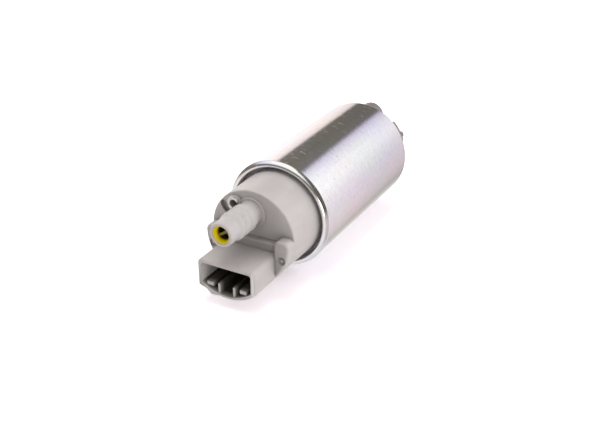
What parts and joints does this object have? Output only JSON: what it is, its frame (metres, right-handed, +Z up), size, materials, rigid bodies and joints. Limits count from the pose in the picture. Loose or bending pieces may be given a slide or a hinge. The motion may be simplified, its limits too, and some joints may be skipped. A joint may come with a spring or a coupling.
{
  "type": "fuel pump",
  "caption": "Electric in-tank fuel pump in a rolled steel can, with barbed outlet, socket, inlet nozzle, motor, impeller and valves inside.",
  "frame": {"origin": "on the axis of the round can, half way along its straight wall", "axes": "+Y along the can's axis, from the outlet end towards the inlet end; +Z up, towards the outlet spigot's side; +X to the right when looking along +Y"},
  "size_m": [0.038, 0.1069, 0.038],
  "materials": {
    "can_steel": "zinc-plated, satin, with fine drawing lines",
    "cap_plastic": "satin moulded, warm light grey",
    "cover_plastic": "satin moulded, dark grey",
    "casing_plastic": "moulded phenolic, dark brown",
    "impeller_plastic": "moulded phenolic, brown",
    "yellow_plastic": "smooth, yellow",
    "plunger_plastic": "moulded acetal, off-white",
    "hub_plastic": "moulded phenolic, black",
    "insulator_fibre": "fibre sheet, green",
    "seal_rubber": "smooth moulded",
    "terminal_tin": "tin-plated",
    "ferrite": "dark sintered ferrite",
    "magnet_ferrite": "ground ferrite",
    "copper": "enamelled or bare copper",
    "carbon": "matt carbon",
    "spring_steel": "bright drawn wire",
    "bearing_bronze": "sintered bronze",
    "shaft_steel": "ground",
    "ball_steel": "polished",
    "core_steel": "stacked punched sheets",
    "valve_brass": "turned"
  },
  "bodies": {
    "pump_body": {"motor_can": "can_steel", "outlet_cap": "cap_plastic", "cap_seal_ring": "seal_rubber", "check_valve_retainer": "yellow_plastic", "check_valve_spring": "spring_steel", "relief_valve_seat": "valve_brass", "relief_valve_spring": "spring_steel", "terminal_left": "terminal_tin", "terminal_right": "terminal_tin", "choke_core_left": "ferrite", "choke_core_right": "ferrite", "choke_coil_left": "copper", "choke_coil_right": "copper", "brush_spring_left": "spring_steel", "brush_spring_right": "spring_steel", "brush_lead_left": "copper", "brush_lead_right": "copper", "magnet_left": "magnet_ferrite", "magnet_right": "magnet_ferrite", "magnet_clips": "spring_steel", "upper_bearing": "bearing_bronze", "lower_bearing": "bearing_bronze", "pump_casing": "casing_plastic", "pump_seal_ring": "seal_rubber", "intake_cover": "cover_plastic", "thrust_ball": "ball_steel"},
    "armature": {"armature_shaft": "shaft_steel", "lamination_stack": "core_steel", "armature_insulators": "insulator_fibre", "armature_windings": "copper", "commutator_segments": "carbon", "commutator_hub": "hub_plastic", "impeller": "impeller_plastic"},
    "check_valve": {"check_valve_plunger": "plunger_plastic", "check_valve_seal": "seal_rubber"},
    "relief_ball": {"relief_valve_ball": "ball_steel"},
    "brush_left": {"brush_left": "carbon"},
    "brush_right": {"brush_right": "carbon"}
  },
  "joints": [
    {"name": "armature_spin", "type": "hinge", "parent": "pump_body", "child": "armature", "pos_m": [0, 0, 0], "axis": [0, 1, 0], "continuous": true},
    {"name": "check_valve_travel", "type": "slide", "parent": "pump_body", "child": "check_valve", "axis": [0, -1, 0], "range_m": [0, 0.002], "stiffness_N_per_m": 60, "springref_m": -0.0015, "deforming": ["check_valve_spring"]},
    {"name": "relief_valve_travel", "type": "slide", "parent": "pump_body", "child": "relief_ball", "axis": [0, -1, 0], "range_m": [0, 0.0012], "stiffness_N_per_m": 2000, "springref_m": -0.001, "deforming": ["relief_valve_spring"]},
    {"name": "brush_left_travel", "type": "slide", "parent": "pump_body", "child": "brush_left", "axis": [0, -1, 0], "range_m": [0, 0.0025], "stiffness_N_per_m": 150, "springref_m": -0.003, "deforming": ["brush_spring_left", "brush_lead_left"]},
    {"name": "brush_right_travel", "type": "slide", "parent": "pump_body", "child": "brush_right", "axis": [0, -1, 0], "range_m": [0, 0.0025], "stiffness_N_per_m": 150, "springref_m": -0.003, "deforming": ["brush_spring_right", "brush_lead_right"]}
  ]
}
